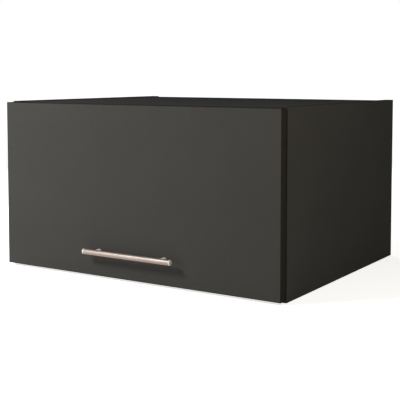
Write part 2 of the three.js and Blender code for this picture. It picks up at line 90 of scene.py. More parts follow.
def closedShell(rings):
    # Quads join each ring to the next one, and a fan to the ring's middle closes each end. Points a and b are
    # neighbours in a ring.
    levels, around = rings.shape[:2]
    points = np.concatenate([rings.reshape(-1, 3), rings[[0, -1]].mean(1)])
    a = np.arange((levels - 1) * around)
    b = a // around * around + (a + 1) % around
    quads = np.stack([a, b, b + around, a + around], 1)
    i = np.arange(around)
    last = (levels - 1) * around
    startFan = np.stack([np.full(around, levels * around), (i + 1) % around, i], 1)
    endFan = np.stack([np.full(around, levels * around + 1), last + i, last + (i + 1) % around], 1)
    fans = np.concatenate([startFan, endFan])
    if sixVolumes(points, quads) + sixVolumes(points, fans) < 0:
        quads, fans = quads[:, ::-1], fans[:, ::-1]
    return points, quads.tolist() + fans.tolist()


def softened(corners, reach, steps=4):
    # Each inner corner C becomes the curve (1-s)^2 A + 2s(1-s) C + s^2 B; A and B lie at most reach from C.
    corners = np.asarray(corners, float)
    before, corner, after = corners[:-2], corners[1:-1], corners[2:]
    reach = np.broadcast_to(reach, len(corner))[:, None]
    toBefore, toAfter = before - corner, after - corner
    lengthBefore = np.linalg.norm(toBefore, axis=1, keepdims=True)
    lengthAfter = np.linalg.norm(toAfter, axis=1, keepdims=True)
    start = corner + toBefore / lengthBefore * np.minimum(reach, edges["sideShare"] * lengthBefore)
    end = corner + toAfter / lengthAfter * np.minimum(reach, edges["sideShare"] * lengthAfter)
    s = np.linspace(0, 1, steps + 1)[None, :, None]
    curve = (1 - s) ** 2 * start[:, None] + 2 * s * (1 - s) * corner[:, None] + s**2 * end[:, None]
    return np.concatenate([corners[:1], curve.reshape(-1, corners.shape[1]), corners[-1:]])


def directionsOf(axis):
    # Two directions across the axis and one along it. The axis is a letter, or a line in space as an array.
    if isinstance(axis, str):
        return (np.array(k, float) for k in axesOf[axis])
    w = axis / np.linalg.norm(axis)
    v = np.cross(w, (1.0, 0.0, 0.0))
    v /= np.linalg.norm(v)
    return np.cross(v, w), v, w


def turnedShell(profile, centre, axis, around):
    # Rows (radius, height) turned about the axis: point = centre + height w + radius (cos a u + sin a v).
    profile = np.asarray(profile, float)
    u, v, w = directionsOf(axis)
    a = np.linspace(0, 2 * np.pi, around, endpoint=False)
    ring = np.cos(a)[:, None] * u + np.sin(a)[:, None] * v
    rings = np.asarray(centre, float) + profile[:, 1, None, None] * w + profile[:, 0, None, None] * ring
    return closedShell(rings)


def roundedOutline(width, height, radius, perCorner=9):
    # Four quarter circles of the given radius; returns the points and their outward directions.
    a = np.linspace(0, np.pi / 2, perCorner)
    angles = (a + np.arange(4)[:, None] * np.pi / 2).ravel()
    way = np.stack([np.cos(angles), np.sin(angles)], 1)
    corners = np.array([[1, 1], [-1, 1], [-1, -1], [1, -1]]) * (width / 2 - radius, height / 2 - radius)
    return np.repeat(corners, perCorner, 0) + radius * way, way


def inPlane(flat, heights, centre, axis):
    # Points (x, y) of a flat drawing, stood up along the axis: centre + x u + y v + height w.
    u, v, w = directionsOf(axis)
    across = np.asarray(centre, float) + flat[..., :1] * u + flat[..., 1:] * v
    return across + heights[..., None] * w


def plateShell(outline, low, high, ease, centre, axis, steps=3):
    # The outline runs up from low to high. Both rims are quarter circles: at ease (1 - cos t) from its face
    # the outline is drawn in by ease (1 - sin t).
    points, way = outline
    t = np.linspace(0, np.pi / 2, steps + 1)
    inset = np.concatenate([ease * (1 - np.sin(t)), ease * (1 - np.cos(t))])
    height = np.concatenate([low + ease * (1 - np.cos(t)), high - ease * (1 - np.sin(t))])
    flat = points[None] - way[None] * inset[:, None, None]
    return closedShell(inPlane(flat, np.broadcast_to(height[:, None], flat.shape[:2]), centre, axis))


# a screw head's dome and cross recess, in shares of the head's radius and height
screwHead = {
    "middle": 0.04,  # radius of the innermost ring
    "dome": 0.35,
    "crossReach": 0.62,
    "crossWidth": 0.13,
    "crossDepth": 0.75,
    "wallWidth": 0.07,
    "endWidth": 0.1,
}


def screwShell(centre, axis, way, radius, height, levels=18, around=64):
    # The head's height falls by dome times the square of the radius, less a cross. The cross's walls lean a
    # little, and lie half inside and half outside its edge.
    r = np.concatenate([np.linspace(screwHead["middle"], 1, levels), [1.0]])[:, None]
    a = np.linspace(0, 2 * np.pi, around, endpoint=False)[None]
    x, y = r * np.cos(a), r * np.sin(a)
    narrow = np.minimum(np.abs(x), np.abs(y))
    wall = np.clip((screwHead["crossWidth"] - narrow) / screwHead["wallWidth"] + 0.5, 0, 1)
    arm = wall * np.clip((screwHead["crossReach"] - r) / screwHead["endWidth"], 0, 1)
    top = height * (1 - screwHead["dome"] * r**2 - screwHead["crossDepth"] * arm)
    top[-1] = 0
    flat = radius * np.stack([x, y], 2)
    return closedShell(inPlane(flat, way * top, centre, axis))


def newObject(name, data):
    made = bpy.data.objects.new(name, data)
    bpy.context.scene.collection.objects.link(made)
    return made


def shadeSmooth(mesh):
    # Smooth faces, with a crease wherever an edge is sharp.
    mesh.polygons.foreach_set("use_smooth", np.ones(len(mesh.polygons), bool))
    mesh.set_sharp_from_angle(angle=math.radians(edges["sharpFrom"]))


def addPiece(name, shells, material, body, standsFor=()):
    # One mesh of several closed shells, each given as its points and its faces.
    points, faces, start = [], [], 0
    for shellPoints, shellFaces in shells:
        points.append(shellPoints)
        faces += [[i + start for i in face] for face in shellFaces]
        start += len(shellPoints)
    mesh = bpy.data.meshes.new(name)
    mesh.from_pydata(np.concatenate(points).tolist(), [], faces)
    shadeSmooth(mesh)
    mesh.materials.append(material)
    piece = newObject(name, mesh)
    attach(piece, body)
    if standsFor:
        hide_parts(*standsFor)


def easedPiece(name, node, material, body, width, segments=2):
    # A copy of the node's own solid, merged, with its sharp edges rounded.
    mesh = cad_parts[node].data.copy()
    mesh.name = name
    form = bmesh.new()
    form.from_mesh(mesh)
    bmesh.ops.remove_doubles(form, verts=form.verts, dist=edges["mergeWithin"])
    flatWithin = math.radians(edges["flatWithin"])
    bmesh.ops.dissolve_limit(form, angle_limit=flatWithin, verts=form.verts, edges=form.edges)
    form.to_mesh(mesh)
    form.free()
    shadeSmooth(mesh)
    mesh.materials.clear()
    mesh.materials.append(material)
    piece = newObject(name, mesh)
    ease = piece.modifiers.new("easedEdges", "BEVEL")
    ease.width = width
    ease.segments = segments
    ease.limit_method = "ANGLE"
    ease.angle_limit = math.radians(edges["sharpFrom"])
    even = piece.modifiers.new("evenShading", "WEIGHTED_NORMAL")
    even.keep_sharp = False
    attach(piece, body)
    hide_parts(node)


noiseSpan = (0.3, 0.7)  # nearly all values of a noise lie between these


def addNode(tree, kind, values=None, **settings):
    # A shader node. Its inputs, by name or number, are linked to a socket or set to a value.
    made = tree.nodes.new("ShaderNode" + kind)
    for key, value in settings.items():
        setattr(made, key, value)
    for key, value in (values or {}).items():
        if isinstance(value, bpy.types.NodeSocket):
            tree.links.new(value, made.inputs[key])
        else:
            made.inputs[key].default_value = value
    return made


def reckon(tree, operation, *values, kind="Math"):
    # A Math or VectorMath node on the values in their order.
    return addNode(tree, kind, dict(enumerate(values)), operation=operation).outputs[0]


def scaled(tree, colour, level):
    # The colour times the level.
    return addNode(tree, "VectorMath", {0: colour, "Scale": level}, operation="SCALE").outputs[0]


def newMaterial(name, colour, metallic=0.0):
    material = bpy.data.materials.new(name)
    material.use_nodes = True
    tree = material.node_tree
    shader = tree.nodes["Principled BSDF"]
    shader.inputs["Base Color"].default_value = (*colour, 1)
    shader.inputs["Metallic"].default_value = metallic
    return material, tree, shader


def place(tree, stretch=(1, 1, 1), turn=(0, 0, 0)):
    # Object coordinates, stretched and turned.
    coords = addNode(tree, "TexCoord")
    values = {"Vector": coords.outputs["Object"], "Scale": stretch, "Rotation": turn}
    return addNode(tree, "Mapping", values).outputs["Vector"]


def grain(tree, vector, scale, detail=3.0, roughness=0.55):
    # A noise, with about scale changes to a metre.
    values = {"Vector": vector, "Scale": scale, "Detail": detail, "Roughness": roughness}
    return addNode(tree, "TexNoise", values).outputs["Fac"]


def between(tree, factor, low, high, fromLow=0.0, fromHigh=1.0):
    # The range fromLow to fromHigh of the factor becomes low to high, and nothing lies beyond them.
    values = {"Value": factor, "From Min": fromLow, "From Max": fromHigh, "To Min": low, "To Max": high}
    return addNode(tree, "MapRange", values).outputs["Result"]


def blendColours(tree, factor, first, second):
    # A colour mix has its colours in sockets 6 and 7 and its result in output 2.
    made = addNode(tree, "Mix", {0: factor}, data_type="RGBA")
    for socket, value in ((6, first), (7, second)):
        if isinstance(value, bpy.types.NodeSocket):
            tree.links.new(value, made.inputs[socket])
        else:
            made.inputs[socket].default_value = (*value, 1)
    return made.outputs[2]


def raised(tree, shader, height, strength, distance):
    # A bump on top of those that the shader already has.
    made = addNode(tree, "Bump", {"Height": height, "Strength": strength, "Distance": distance})
    below = shader.inputs["Normal"].links
    if below:
        tree.links.new(below[0].from_socket, made.inputs["Normal"])
    tree.links.new(made.outputs["Normal"], shader.inputs["Normal"])


def shade(colour, factor):
    return tuple(c * factor for c in colour)


board = {
    # Each band colour is darker than its face: partly the edge band's own tone, partly painted shade for the
    # dark gap beside the flap.
    "flap": {"face": (0.0693, 0.0679, 0.0640), "band": (0.036, 0.0315, 0.028)},
    "carcass": {"face": (0.0715, 0.0700, 0.0670), "band": (0.050, 0.0487, 0.0465)},
    # The top's face is darker and cooler than the sides': painted shade, as under weak cool light from above.
    "top": {"face": (0.0535, 0.0552, 0.0545), "band": (0.050, 0.0487, 0.0465)},
    "specular": 0.0,
    "roughness": (0.46, 0.6),
    "sheenScale": 60,
    "mottle": {"scale": 9, "detail": 4, "spread": 0.035},
    "speckle": {"scale": 900, "detail": 2, "spread": 0.07},
    "pearl": {"scale": 1400, "strength": 0.2, "distance": 0.0001},
    "waves": {"scale": 7, "strength": 0.06, "distance": 0.002},
    "bandThickness": 0.001,
    "bandBlend": 0.00005,  # on each side of the joint the face's colour turns into the band's within this
    "seam": 0.00012,  # the dark line along the joint fades out at this distance from it
    "seamDepth": 0.35,
    "unbanded": 9.0,  # half a size that no point reaches, for the directions without a band
}


def boardMaterial(name, centre, half, tint):
    # Melamine: wide soft mottling, a fine speckle and a pearl bump. A point farther out than half less the
    # band's thickness is on the edge band, which has a darker line where it meets the face.
    material, tree, shader = newMaterial(name, tint["face"])
    shader.inputs["Specular IOR Level"].default_value = board["specular"]
    vector = place(tree)
    tones = []
    for look in (board["mottle"], board["speckle"]):
        noise, spread = grain(tree, vector, look["scale"], look["detail"]), look["spread"]
        tones.append(between(tree, noise, 1 - spread, 1 + spread, *noiseSpan))
    offset = reckon(tree, "SUBTRACT", vector, centre, kind="VectorMath")
    bandStart = tuple(h - board["bandThickness"] for h in half)
    reach = reckon(tree, "ABSOLUTE", offset, kind="VectorMath")
    past = reckon(tree, "SUBTRACT", reach, bandStart, kind="VectorMath")
    x, y, z = addNode(tree, "SeparateXYZ", {0: past}).outputs
    beyond = reckon(tree, "MAXIMUM", reckon(tree, "MAXIMUM", x, y), z)  # below 0 on the face
    inBand = between(tree, beyond, 0, 1, -board["bandBlend"], board["bandBlend"])
    away = reckon(tree, "ABSOLUTE", beyond)
    line = between(tree, away, 1 - board["seamDepth"], 1, board["seam"] / 2, board["seam"])
    level = reckon(tree, "MULTIPLY", reckon(tree, "MULTIPLY", *tones), line)
    # The band's darker colour is partly painted shade for the gap beside the flap.
    base = blendColours(tree, inBand, tint["face"], tint["band"])
    tree.links.new(scaled(tree, base, level), shader.inputs["Base Color"])
    sheen = grain(tree, vector, board["sheenScale"], detail=3)
    tree.links.new(between(tree, sheen, *board["roughness"], *noiseSpan), shader.inputs["Roughness"])
    for look in (board["pearl"], board["waves"]):
        relief = grain(tree, vector, look["scale"], detail=2)
        raised(tree, shader, relief, look["strength"], look["distance"])
    return material


def bandedBoard(name, node, banded, tint):
    # The edge band goes round the node's box in the directions that are banded.
    low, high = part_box(node)
    centre, half = (low + high) / 2, (high - low) / 2
    bandHalf = tuple(h if k else board["unbanded"] for h, k in zip(half, banded))
    return boardMaterial(name, tuple(centre), bandHalf, tint)


carcassBoard = bandedBoard("graphiteCarcass", "side_panel_right", (False, True, True), board["carcass"])
# painted shade: the top board's face colour is darker and cooler than the sides'
topBoardPaintedShade = bandedBoard("graphiteTopPaintedShade", "top_panel", (False, True, False), board["top"])
bottomBoard = bandedBoard("graphiteBottom", "bottom_panel", (False, True, False), board["carcass"])
flapBoard = bandedBoard("graphiteFlap", "flap_door", (True, False, True), board["flap"])

backLook = {
    "colour": (0.055, 0.0535, 0.0495),
    "specular": 0.1,
    "roughness": (0.56, 0.72),
    "fibreStretch": (12, 60, 160),
    "fibreScale": 3,
    "fibreTone": (0.9, 1.1),
    "fibreBump": {"strength": 0.15, "distance": 0.0001},
    "cloudScale": 14,
    "cloudTone": (0.92, 1.08),
    "cloudShade": (1.05, 0.95),
}


def backMaterial():
    # Thin coated fibreboard: a dull coat with faint sideways fibre marks.
    colour = backLook["colour"]
    material, tree, shader = newMaterial("graphiteBack", colour)
    shader.inputs["Specular IOR Level"].default_value = backLook["specular"]
    fibres = grain(tree, place(tree, backLook["fibreStretch"]), backLook["fibreScale"], detail=4)
    clouds = grain(tree, place(tree), backLook["cloudScale"], detail=3)
    fibreTone = between(tree, fibres, *backLook["fibreTone"])
    level = reckon(tree, "MULTIPLY", fibreTone, between(tree, clouds, *backLook["cloudTone"]))
    base = blendColours(tree, clouds, *(shade(colour, k) for k in backLook["cloudShade"]))
    tree.links.new(scaled(tree, base, level), shader.inputs["Base Color"])
    tree.links.new(between(tree, fibres, *backLook["roughness"]), shader.inputs["Roughness"])
    raised(tree, shader, fibres, **backLook["fibreBump"])
    return material


fibreBack = backMaterial()

# Stretch is the number of brush marks to a metre along each axis, before the turn. The marks take the colour
# towards tone times itself, by markShare at most, and the clouds take it towards dull times itself.
metals = {
    # The bar's warm colour is partly its steel's own and partly painted reflection: the copper tint stands in
    # for a brown floor mirrored in its underside.
    "brushedSteelAndPaintedReflection": {
        "colour": (0.245, 0.158, 0.108),
        "roughness": (0.6, 0.75),
        "stretch": (25, 220, 220),
        "turn": (0, 0.2, 0),
        "tone": 0.6,
        "dull": 0.9,
        "metallic": 1.0,
        "coat": 0.85,
        "bump": 0.25,
    },
    # Painted light: the posts are near white and not metal, so that they read bright as strongly lit posts
    # do.
    "postSteelPaintedLight": {
        "colour": (0.95, 0.92, 0.87),
        "roughness": (0.42, 0.52),
        "stretch": (900, 30, 900),
        "turn": (0, 0, 0),
        "tone": 0.9,
        "dull": 0.94,
        "metallic": 0.0,
        "coat": 0.0,
        "bump": 0.2,
    },
    # Painted light: the caps are much paler and less metallic than the bar, so that the bar's ends read
    # bright.
    "capSteelPaintedLight": {
        "colour": (0.76, 0.70, 0.61),
        "roughness": (0.38, 0.5),
        "stretch": (900, 900, 900),
        "turn": (0, 0, 0),
        "tone": 0.88,
        "dull": 0.94,
        "metallic": 0.3,
        "coat": 0.0,
        "bump": 0.2,
    },
    "satinNickel": {
        "colour": (0.56, 0.55, 0.52),
        "roughness": (0.24, 0.36),
        "stretch": (300, 300, 300),
        "turn": (0, 0, 0),
        "tone": 0.78,
        "dull": 0.88,
        "metallic": 1.0,
        "coat": 0.0,
        "bump": 0.1,
    },
    "brightZinc": {
        "colour": (0.46, 0.47, 0.49),
        "roughness": (0.3, 0.46),
        "stretch": (160, 160, 160),
        "turn": (0, 0, 0),
        "tone": 0.74,
        "dull": 0.84,
        "metallic": 1.0,
        "coat": 0.0,
        "bump": 0.12,
    },
}

# what the metals share
metalFinish = {
    "coatRoughness": 0.34,
    "coatIor": 2.3,
    "markRoughness": 0.6,  # of the noise, not of the surface
    "markSpan": (0.35, 0.65),
    "markShare": 0.6,
    "cloudScale": 70,
    "cloudSpan": (0.35, 0.7),
    "relief": 0.00006,
}


def metalMaterial(name):
    # Brushed or plated metal: a stretched noise sets tone, roughness and relief, and a wide one dulls it.
    look = metals[name]
    material, tree, shader = newMaterial(name, look["colour"], look["metallic"])
    shader.inputs["Coat Weight"].default_value = look["coat"]
    shader.inputs["Coat Roughness"].default_value = metalFinish["coatRoughness"]
    shader.inputs["Coat IOR"].default_value = metalFinish["coatIor"]
    brushed = place(tree, look["stretch"], look["turn"])
    marks = grain(tree, brushed, 1, detail=4, roughness=metalFinish["markRoughness"])
    clouds = grain(tree, place(tree), metalFinish["cloudScale"], detail=3)
    cloud = between(tree, clouds, 0, 1, *metalFinish["cloudSpan"])
    dull = blendColours(tree, cloud, look["colour"], shade(look["colour"], look["dull"]))
    mark = between(tree, marks, 0, metalFinish["markShare"], *metalFinish["markSpan"])
    tone = blendColours(tree, mark, dull, shade(look["colour"], look["tone"]))
    tree.links.new(tone, shader.inputs["Base Color"])
    tree.links.new(between(tree, marks, *look["roughness"], *noiseSpan), shader.inputs["Roughness"])
    raised(tree, shader, marks, look["bump"], metalFinish["relief"])
    return material


barSteelAndPaintedReflection, postSteelPaintedLight, capSteelPaintedLight, nickel, zinc = (metalMaterial(name) for name in metals)

moulded = {
    "greyLacquer": {
        "colour": (0.235, 0.25, 0.265),
        "roughness": (0.28, 0.38),
        "metallic": 0.25,
        "grain": 240,
        "bump": 0.12,
    },
    "blackPlastic": {
        "colour": (0.014, 0.014, 0.015),
        "roughness": (0.4, 0.56),
        "metallic": 0.0,
        "grain": 1500,
        "bump": 0.3,
    },
    "whitePlastic": {
        "colour": (0.72, 0.72, 0.69),
        "roughness": (0.36, 0.5),
        "metallic": 0.0,
        "grain": 900,
        "bump": 0.18,
    },
}

# what the lacquer and the plastics share
mouldedFinish = {"cloudScale": 40, "cloudShade": (0.9, 1.08), "relief": 0.00008}


def mouldedMaterial(name):
    # A coat or moulding with a fine grain and slow changes of tone.
    look = moulded[name]
    material, tree, shader = newMaterial(name, look["colour"], look["metallic"])
    fine = grain(tree, place(tree), look["grain"], detail=2)
    clouds = grain(tree, place(tree), mouldedFinish["cloudScale"], detail=3)
    cloud = between(tree, clouds, 0, 1, *noiseSpan)
    tone = blendColours(tree, cloud, *(shade(look["colour"], k) for k in mouldedFinish["cloudShade"]))
    tree.links.new(tone, shader.inputs["Base Color"])
    tree.links.new(between(tree, fine, *look["roughness"], *noiseSpan), shader.inputs["Roughness"])
    raised(tree, shader, fine, look["bump"], mouldedFinish["relief"])
    return material


lacquer, blackPlastic, whitePlastic = (mouldedMaterial(name) for name in moulded)

rubberLook = {
    "colour": (0.62, 0.64, 0.62),
    "clouds": ((0.5, 0.52, 0.5), (0.74, 0.76, 0.73)),
    "cloudScale": 400,
    "roughness": (0.28, 0.46),
    "transmission": 0.45,
    "ior": 1.42,
}


def rubberMaterial():
    # Milky soft rubber that lets some light through.
    material, tree, shader = newMaterial("clearRubber", rubberLook["colour"])
    shader.inputs["Transmission Weight"].default_value = rubberLook["transmission"]
    shader.inputs["IOR"].default_value = rubberLook["ior"]
    clouds = grain(tree, place(tree), rubberLook["cloudScale"], detail=3)
    tree.links.new(blendColours(tree, clouds, *rubberLook["clouds"]), shader.inputs["Base Color"])
    tree.links.new(between(tree, clouds, *rubberLook["roughness"]), shader.inputs["Roughness"])
    return material


rubber = rubberMaterial()
print("materials made")

boardEase = {"side": 0.0006, "panel": 0.0006, "flap": 0.0008, "back": 0.0003}


def boardPiece(name, node, material, ease, body="carcass"):
    easedPiece(name, node, material, body, boardEase[ease], segments=3)


for sideName in sides:
    boardPiece(f"sideBoard.{sideName}", f"side_panel_{sideName}", carcassBoard, "side")
boardPiece("topBoardPaintedShade", "top_panel", topBoardPaintedShade, "panel")
boardPiece("bottomBoard", "bottom_panel", bottomBoard, "panel")
boardPiece("backBoard", "back_panel", fibreBack, "back")
boardPiece("flapBoard", "flap_door", flapBoard, "flap", body="flap")
print("boards made")

barLow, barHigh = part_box("handle_bar")
flapLow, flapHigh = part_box("flap_door")
postLow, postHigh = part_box("handle_post_left")
barCentre = (barLow + barHigh) / 2

handle = {
    "radius": (barHigh.z - barLow.z) / 2,
    "halfLength": barHigh.x,
    "barRings": 25,
    "capLength": 0.0032,
    "capDome": 0.0014,
    "domeRings": 15,
    "domeTo": 1.5,  # the dome's last angle in radians, just short of its pole
    "jointDepth": 0.0002,
    "jointWidth": 0.0003,
    "postRadius": (postHigh.z - postLow.z) / 2,
    "postSeat": 0.0034,  # how far the post's end reaches into the bar's round
    "postEase": 0.0004,
    "screwRadius": 0.0041,
    "screwHeight": 0.0024,
    "screwGap": 0.0001,  # between the flap and the screw's head
    "screwReach": 0.0238,
    "threadRadius": 0.002,
    "threadOver": 0.0001,  # how far the thread reaches into the head
    "tipLength": 0.0008,
    "tipShare": 0.8,  # of the thread's radius, at its tip
}


def barShell():
    # The bar between its end caps, turned about X.
    r, end = handle["radius"], handle["halfLength"] - handle["capLength"]
    along = np.linspace(-end, end, handle["barRings"])[:, None]
    middle = np.concatenate([np.full_like(along, r), along], 1)
    profile = np.concatenate([[(pole, -end)], middle, [(pole, end)]])
    return turnedShell(profile, barCentre, "x", around=96)


def capShell(side):
    # A cap turned about X: a fine joint line, a plain rim, and a dome that rises from the rim by capDome
    # times sqrt(1 - (radius/r)^2).
    r, end, dome = handle["radius"], handle["halfLength"], handle["capDome"]
    inner = end - handle["capLength"]
    t = np.linspace(0, handle["domeTo"], handle["domeRings"])[:, None]
    bulge = np.concatenate([r * np.cos(t), end - dome * (1 - np.sin(t))], 1)
    start = [(pole, inner), (r - handle["jointDepth"], inner), (r, inner + handle["jointWidth"])]
    return turnedShell(np.concatenate([start, bulge]) * (1, side), barCentre, "x", around=96)


def postShell(x):
    # A post turned about Y: a fine ease on the flap, a plain shank and its end inside the bar.
    r, reach = handle["postRadius"], flapLow.y - barHigh.y + handle["postSeat"]
    profile = softened([(pole, 0), (r, 0), (r, -reach), (pole, -reach)], handle["postEase"])
    return turnedShell(profile, (x, flapLow.y, barCentre.z), "y", around=64)


def handleScrewShells(x):
    # A head on the flap's inner face, and a thread with a pointed tip, turned about Y.
    centre = (x, flapHigh.y + handle["screwGap"], barCentre.z)
    r, reach, over = (handle[k] for k in ("threadRadius", "screwReach", "threadOver"))
    tip = (handle["tipShare"] * r, -reach)
    thread = [(pole, -reach), tip, (r, handle["tipLength"] - reach), (r, over), (pole, over)]
    head = screwShell(centre, "y", 1, handle["screwRadius"], handle["screwHeight"])
    return [head, turnedShell(thread, centre, "y", around=24)]


addPiece("handleBar", [barShell()], barSteelAndPaintedReflection, "flap", ["handle_bar"])
for sideName, side in sides.items():
    addPiece(f"handleCap.{sideName}", [capShell(side)], capSteelPaintedLight, "flap")
    post, screw = f"handle_post_{sideName}", f"handle_screw_{sideName}"
    x = sum(corner.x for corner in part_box(post)) / 2
    addPiece(f"handlePost.{sideName}", [postShell(x)], postSteelPaintedLight, "flap", [post])
    addPiece(f"handleScrew.{sideName}", handleScrewShells(x), zinc, "flap", [screw])
print("handle made")

bumper = {
    "radius": 0.0045,
    "height": 0.0026,
    "ease": 0.0008,
    "middle": 0.0004,  # radius of the flat spot that closes it
    "wallShare": 0.35,  # of the height, up to the slope
    "topShares": (0.72, 0.92),  # of the radius and the height, where the slope ends
}


def bumperShell(node):
    # A soft button turned about Y: a low wall, a slope and an almost flat top.
    r, h, middle = (bumper[k] for k in ("radius", "height", "middle"))
    low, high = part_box(node)
    radiusShare, heightShare = bumper["topShares"]
    slope = [(r, bumper["wallShare"] * h), (radiusShare * r, heightShare * h)]
    profile = softened([(middle, 0), (r, 0), *slope, (middle, h)], bumper["ease"], steps=5)
    return turnedShell(profile, ((low.x + high.x) / 2, low.y, (low.z + high.z) / 2), "y", around=40)


for sideName in sides:
    node = f"flap_bumper_{sideName}"
    addPiece(f"flapBumper.{sideName}", [bumperShell(node)], rubber, "flap", [node])

hinge = {
    "cupRadius": 0.0175,
    "cupDepth": 0.012,
    "wall": 0.0012,
    "rimOver": 0.001,
    "rimThickness": 0.0012,
    "seat": 0.0003,
    "bowlEase": [0.0022, 0.0004, 0.0004, 0.0003, 0.0002, 0.0018],  # at each corner, from the inside out
    "earWidth": 0.0146,
    "earHeight": 0.014,
    "earCorner": 0.0045,
    "earEase": 0.0004,
    "earX": 0.0237,
    "pinRadius": 0.001,
    "pinMiddle": 0.0003,  # radius of the flat spot that closes a pin's end
    "pinFrom": 0.0064,
    "pinTo": 0.0150,
    "eyeRadius": 0.0021,  # from a link's pin to the link's edge
    "armDrop": 0.0073,  # from the plate's underside to the arm's
    "armEase": 0.0007,
    "plateEase": 0.0005,
    "linkEase": 0.0003,
}

# The hinge's screw heads. x is measured from the hinge's middle, and back from the plate's front edge.
hingeScrews = {
    "cup": {"radius": 0.0036, "height": 0.0013, "x": 0.0247},
    "plate": {"radius": 0.0037, "height": 0.0014, "x": 0.016},
    "arm": {"radius": 0.0030, "height": 0.0010, "back": (0.011, 0.038)},
}


def hingeCupShells(centre, sideName):
    # The cup is turned about Y; two rounded ears stand beside its rim, and a pin ends beside each link.
    r, deep, wall, seat = (hinge[k] for k in ("cupRadius", "cupDepth", "wall", "seat"))
    top, rim = seat + hinge["rimThickness"], r + hinge["rimOver"]
    bowl = [(pole, wall - deep), (r - wall, wall - deep), (r - wall, top), (rim, top)]
    bowl += [(rim, seat), (r, seat), (r, -deep), (pole, -deep)]
    shells = [turnedShell(softened(bowl, hinge["bowlEase"]), centre, "y", around=64)]
    ear = roundedOutline(hinge["earWidth"], hinge["earHeight"], hinge["earCorner"])
    middle, pinRadius, eye = (hinge[k] for k in ("pinMiddle", "pinRadius", "eyeRadius"))
    for way, link in ((sides[sideName], "outer"), (-sides[sideName], "inner")):
        earCentre = centre + (way * hinge["earX"], 0, 0)
        shells.append(plateShell(ear, seat, top, hinge["earEase"], earCentre, "y"))
        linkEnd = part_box(f"hinge_{link}_link_{sideName}")[1]
        start, end = way * hinge["pinFrom"], way * hinge["pinTo"]
        pin = [(middle, start), (pinRadius, start), (pinRadius, end), (middle, end)]
        shells.append(turnedShell(pin, (centre[0], linkEnd.y - eye, linkEnd.z - eye), "x", around=24))
    return shells


def hingeScrew(kind, centre, axis, way):
    return screwShell(centre, axis, way, hingeScrews[kind]["radius"], hingeScrews[kind]["height"])


for sideName in sides:
    cup = f"hinge_cup_{sideName}"
    low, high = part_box(cup)
    centre = np.array([(low.x + high.x) / 2, flapHigh.y, (low.z + high.z) / 2])
    addPiece(f"hingeCup.{sideName}", hingeCupShells(centre, sideName), nickel, "flap", [cup])
    for part in ("arm", "plate"):
        name, ease = f"hinge_{part}_{sideName}", hinge[f"{part}Ease"]
        shown = f"hinge{part.capitalize()}.{sideName}"
        easedPiece(shown, name, nickel, "carcass", ease, segments=3)
    for link in ("outer", "inner"):
        name, ease = f"hinge_{link}_link_{sideName}", hinge["linkEase"]
        easedPiece(f"{link}Link.{sideName}", name, nickel, f"{link}_link_{sideName}", ease)
    rim, x = hinge["rimThickness"], hingeScrews["cup"]["x"]
    cupScrews = [hingeScrew("cup", centre + (way * x, rim, 0), "y", 1) for way in (-1, 1)]
    addPiece(f"hingeCupScrews.{sideName}", cupScrews, zinc, "flap")
    low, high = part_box(f"hinge_plate_{sideName}")
    middleY, under, x = (low.y + high.y) / 2, (low.z + high.z) / 2, hingeScrews["plate"]["x"]
    plateScrews = [hingeScrew("plate", (centre[0] + way * x, middleY, under), "z", -1) for way in (-1, 1)]
    addPiece(f"hingePlateScrews.{sideName}", plateScrews, zinc, "carcass")
    armUnder = low.z - hinge["armDrop"]
    armPlaces = [(centre[0], low.y + back, armUnder) for back in hingeScrews["arm"]["back"]]
    armScrews = [hingeScrew("arm", armPlace, "z", -1) for armPlace in armPlaces]
    addPiece(f"hingeArmScrews.{sideName}", armScrews, zinc, "carcass")
print("hinges made")

strut = {
    "earHalf": 0.006,  # from the upper ball to the ear's edge
    "socketRadius": 0.006,
    "socketHalf": 0.0055,
    "socketEase": 0.0012,
    "shankRadius": 0.0045,
    "shankFrom": 0.001,
    "shankReach": 0.015,
    "shankEase": 0.0005,
    "collarOver": 0.0006,
    "collarLength": 0.0045,
    "collarSlope": 0.0005,
    "tubeGap": 0.0003,  # between the upper shank and the tube
    "tubeRadius": 0.0075,
    "tubeEase": 0.002,
    "grooves": (0.0075, -0.0095),  # from the tube's start, and from its mouth
    "grooveHalf": 0.0015,
    "grooveDepth": 0.00045,
    "grooveEase": 0.0008,
    "mouthEase": 0.0022,
    "guideDepth": 0.001,  # how deep the rod's guide lies in the rolled mouth
    "guideRadius": 0.0036,
    "guideEase": 0.0003,
    "rodRadius": 0.003,
    "rodShow": 0.006,
    "rodEase": 0.0005,
    "pistonRadius": 0.0057,
    "pistonFrom": 0.0033,
    "pistonTo": 0.009,
    "pistonSlope": 0.0005,
    "bracketEase": 0.0005,
    "plateThickness": 0.002,
    "screwRadius": 0.0034,
    "screwHeight": 0.0014,
    "sideScrewZ": 0.015,
    "flapScrewZ": 0.0165,
}


def socketShells(centre, along):
    # The head is turned about X, and the shank with its end collar about the strut's line.
    r, half, reach = strut["socketRadius"], strut["socketHalf"], strut["shankReach"]
    head = softened([(pole, -half), (r, -half), (r, half), (pole, half)], strut["socketEase"], steps=5)
    neck, start, collar = strut["shankRadius"], strut["shankFrom"], reach - strut["collarLength"]
    wide = neck + strut["collarOver"]
    shank = [(pole, start), (neck, start), (neck, collar - strut["collarSlope"]), (wide, collar)]
    shank = softened([*shank, (wide, reach), (pole, reach)], strut["shankEase"])
    return [turnedShell(head, centre, "x", around=48), turnedShell(shank, centre, along, around=48)]


